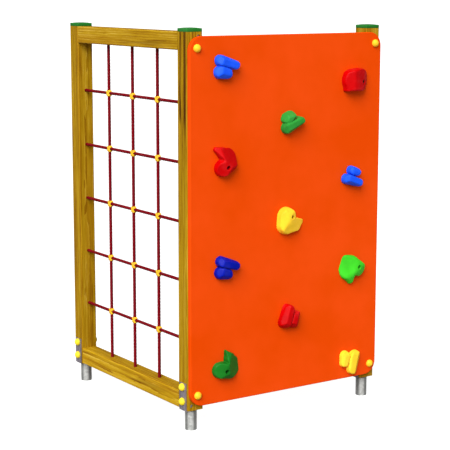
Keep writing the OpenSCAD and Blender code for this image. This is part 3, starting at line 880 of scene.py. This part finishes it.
FLOOR_HALF = 400.0
FLOOR_GLOW = 0.92
ROOM_BRIGHT_SIDE = (-0.62, -0.76, 0.2)
KEY_FROM = (-1.0, -0.82, 1.0)
KEY_STRENGTH = 4.2
KEY_SPREAD = 42


def make_floor():
    """A wide pale floor. Its glow is seen by the camera only, so it doesn't light the object from below."""
    corners = [(-1, -1), (1, -1), (1, 1), (-1, 1)]
    mesh = bpy.data.meshes.new("floor")
    mesh.from_pydata([(x * FLOOR_HALF, y * FLOOR_HALF, 0) for x, y in corners], [], [(0, 1, 2, 3)])
    floor = bpy.data.objects.new("floor", mesh)
    bpy.context.scene.collection.objects.link(floor)
    m = Mat("studio_floor", Roughness=0.9, Specular_IOR_Level=0.0, Emission_Color=(1, 1, 1, 1))
    seen_directly = m.node("LightPath").outputs["Is Camera Ray"]
    tone = m.noise(m.space(), scale=0.6, detail=2)
    mesh.materials.append(m.set(
        Emission_Strength=m.math("MULTIPLY", seen_directly, FLOOR_GLOW),
        Base_Color=m.ramp(tone, [(0.3, 0.27), (0.7, 0.29)]),
    ))


def make_room():
    """A white room that is brighter on the key light's side; seen directly it is plain white."""
    world = bpy.data.worlds.new("studio")
    bpy.context.scene.world = world
    world.use_nodes = True
    tree = world.node_tree
    tree.nodes.clear()

    def node(kind, props=None, **inputs):
        return add_node(tree, kind, props, inputs)

    way = node("TexCoord").outputs["Generated"]
    side = node("VectorMath", {"operation": "DOT_PRODUCT"}, i0=way, i1=ROOM_BRIGHT_SIDE).outputs["Value"]
    level = node("MapRange", Value=side, From_Min=-0.5, From_Max=0.8, To_Min=0.16, To_Max=0.96).outputs[0]
    room = node("Background", Color=(1, 1, 1, 1), Strength=level).outputs[0]
    white = node("Background", Color=(1, 1, 1, 1), Strength=1.0).outputs[0]
    seen_directly = node("LightPath").outputs["Is Camera Ray"]
    seen = node("MixShader", i0=seen_directly, i1=room, i2=white).outputs[0]
    node("OutputWorld", Surface=seen)


def make_key_light():
    """A soft distant light that shines from the direction KEY_FROM."""
    data = bpy.data.lights.new("key", "SUN")
    data.energy = KEY_STRENGTH
    data.angle = math.radians(KEY_SPREAD)
    key = bpy.data.objects.new("key", data)
    bpy.context.scene.collection.objects.link(key)
    key.rotation_mode = "QUATERNION"
    key.rotation_quaternion = Vector(KEY_FROM).to_track_quat("Z", "Y")


# ---------------------------------------------------------------- camera

# Fitted to the object's straight edges in the photograph
CAMERA_AT = Vector((-3.7560, -5.8684, 2.2372))
CAMERA_YAW, CAMERA_PITCH, CAMERA_ROLL = 34.0426, -9.6308, 0.0625
SENSOR = 36.0
LENS = 113.4756


def make_camera():
    """The photograph's camera. Yaw turns from +Y towards +X, and all three angles are in degrees."""
    data = bpy.data.cameras.new("camera")
    data.sensor_width = SENSOR
    data.lens = LENS
    data.clip_end = 2000
    camera = bpy.data.objects.new("camera", data)
    bpy.context.scene.collection.objects.link(camera)
    yaw, pitch, roll = (math.radians(v) for v in (CAMERA_YAW, CAMERA_PITCH, CAMERA_ROLL))
    forward = Vector((math.sin(yaw) * math.cos(pitch), math.cos(yaw) * math.cos(pitch), math.sin(pitch)))
    level_right = forward.cross(Vector((0, 0, 1))).normalized()
    level_up = level_right.cross(forward)
    right = math.cos(roll) * level_right + math.sin(roll) * level_up
    up = math.cos(roll) * level_up - math.sin(roll) * level_right
    camera.matrix_world = Matrix.Translation(CAMERA_AT) @ Matrix((right, up, -forward)).transposed().to_4x4()
    bpy.context.scene.camera = camera
    bpy.context.scene.view_settings.view_transform = "Standard"
    bpy.context.scene.view_settings.look = "None"


# ---------------------------------------------------------------- the whole scene

make_panel()
for cap in CAPS:
    make_cap(cap)
make_holds()
for rope in UPRIGHTS:
    lay_rope(rope, "z", [])
for rope in LEVELS:
    lay_rope(rope, "y", upright_ys)
make_connectors("connector_outer_shells", -1)
make_connectors("connector_inner_shells", 1)
finish_cad_parts()
make_floor()
make_room()
make_key_light()
make_camera()
